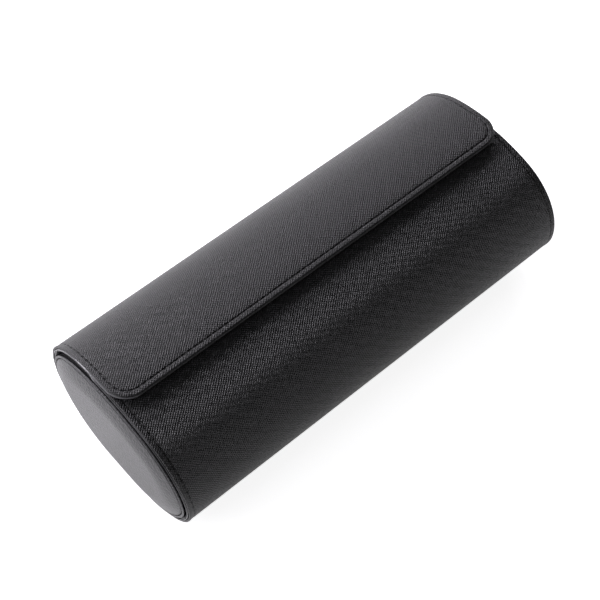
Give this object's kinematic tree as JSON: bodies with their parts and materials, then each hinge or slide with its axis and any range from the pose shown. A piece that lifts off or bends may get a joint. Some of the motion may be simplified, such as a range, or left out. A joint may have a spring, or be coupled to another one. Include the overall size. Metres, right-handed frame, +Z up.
{
  "type": "watch travel case",
  "caption": "Oval roll case for watches: lined tray with oval ends and lift-out cushions in a stiff leather wrap whose flap closes over a front leaf.",
  "frame": {"origin": "centre of the flat underside, halfway along the case", "axes": "+X along the case towards its right end as seen from the front; -Y towards the front, where the leaf shows; +Z up through the flap"},
  "size_m": [0.2018, 0.0886, 0.0682],
  "materials": {
    "wrap_leather": "cross-grain embossed black leather, semi-matt",
    "end_leather": "fine-grain black leather, satin, catches a grey sheen",
    "lining_suede": "short-pile microsuede",
    "cushion_suede": "short-pile microsuede over foam",
    "greyboard": "pressed greyboard, uncoated",
    "foam": "open-cell foam",
    "magnet_steel": "nickel-plated"
  },
  "bodies": {
    "case": {"base_leather": "wrap_leather", "base_board": "greyboard", "tray_board": "greyboard", "tray_lining": "lining_suede", "left_end_leather": "end_leather", "left_end_foam": "foam", "left_end_board": "greyboard", "left_end_lining": "lining_suede", "right_end_leather": "end_leather", "right_end_foam": "foam", "right_end_board": "greyboard", "right_end_lining": "lining_suede", "left_divider_board": "greyboard", "left_divider_cover": "lining_suede", "right_divider_board": "greyboard", "right_divider_cover": "lining_suede"},
    "flap": {"flap_leather": "wrap_leather", "flap_board": "greyboard", "flap_lining": "lining_suede", "flap_magnets": "magnet_steel"},
    "front_leaf": {"leaf_leather": "wrap_leather", "leaf_board": "greyboard", "leaf_lining": "lining_suede", "leaf_steel_discs": "magnet_steel"},
    "left_cushion": {"left_cushion_core": "foam", "left_cushion_band": "cushion_suede", "left_cushion_sides": "cushion_suede"},
    "middle_cushion": {"middle_cushion_core": "foam", "middle_cushion_band": "cushion_suede", "middle_cushion_sides": "cushion_suede"},
    "right_cushion": {"right_cushion_core": "foam", "right_cushion_band": "cushion_suede", "right_cushion_sides": "cushion_suede"}
  },
  "joints": [
    {"name": "flap_hinge", "type": "hinge", "parent": "case", "child": "flap", "pos_m": [0, 0.0443, 0.033], "axis": [-1, 0, 0], "range_deg": [0, 130]},
    {"name": "leaf_hinge", "type": "hinge", "parent": "case", "child": "front_leaf", "pos_m": [0, -0.03006, 0.00765], "axis": [1, 0, 0], "range_deg": [0, 65]},
    {"name": "left_cushion_lift", "type": "slide", "parent": "case", "child": "left_cushion", "axis": [0, 0, 1], "range_m": [0, 0.06]},
    {"name": "middle_cushion_lift", "type": "slide", "parent": "case", "child": "middle_cushion", "axis": [0, 0, 1], "range_m": [0, 0.06]},
    {"name": "right_cushion_lift", "type": "slide", "parent": "case", "child": "right_cushion", "axis": [0, 0, 1], "range_m": [0, 0.06]}
  ],
  "couplings": [
    {"joint": "leaf_hinge", "follows": "flap_hinge", "ratio": 0.5},
    {"joint": "left_cushion_lift", "follows": "flap_hinge", "m_per_rad": 0.02644},
    {"joint": "middle_cushion_lift", "follows": "flap_hinge", "m_per_rad": 0.02644},
    {"joint": "right_cushion_lift", "follows": "flap_hinge", "m_per_rad": 0.02644}
  ]
}
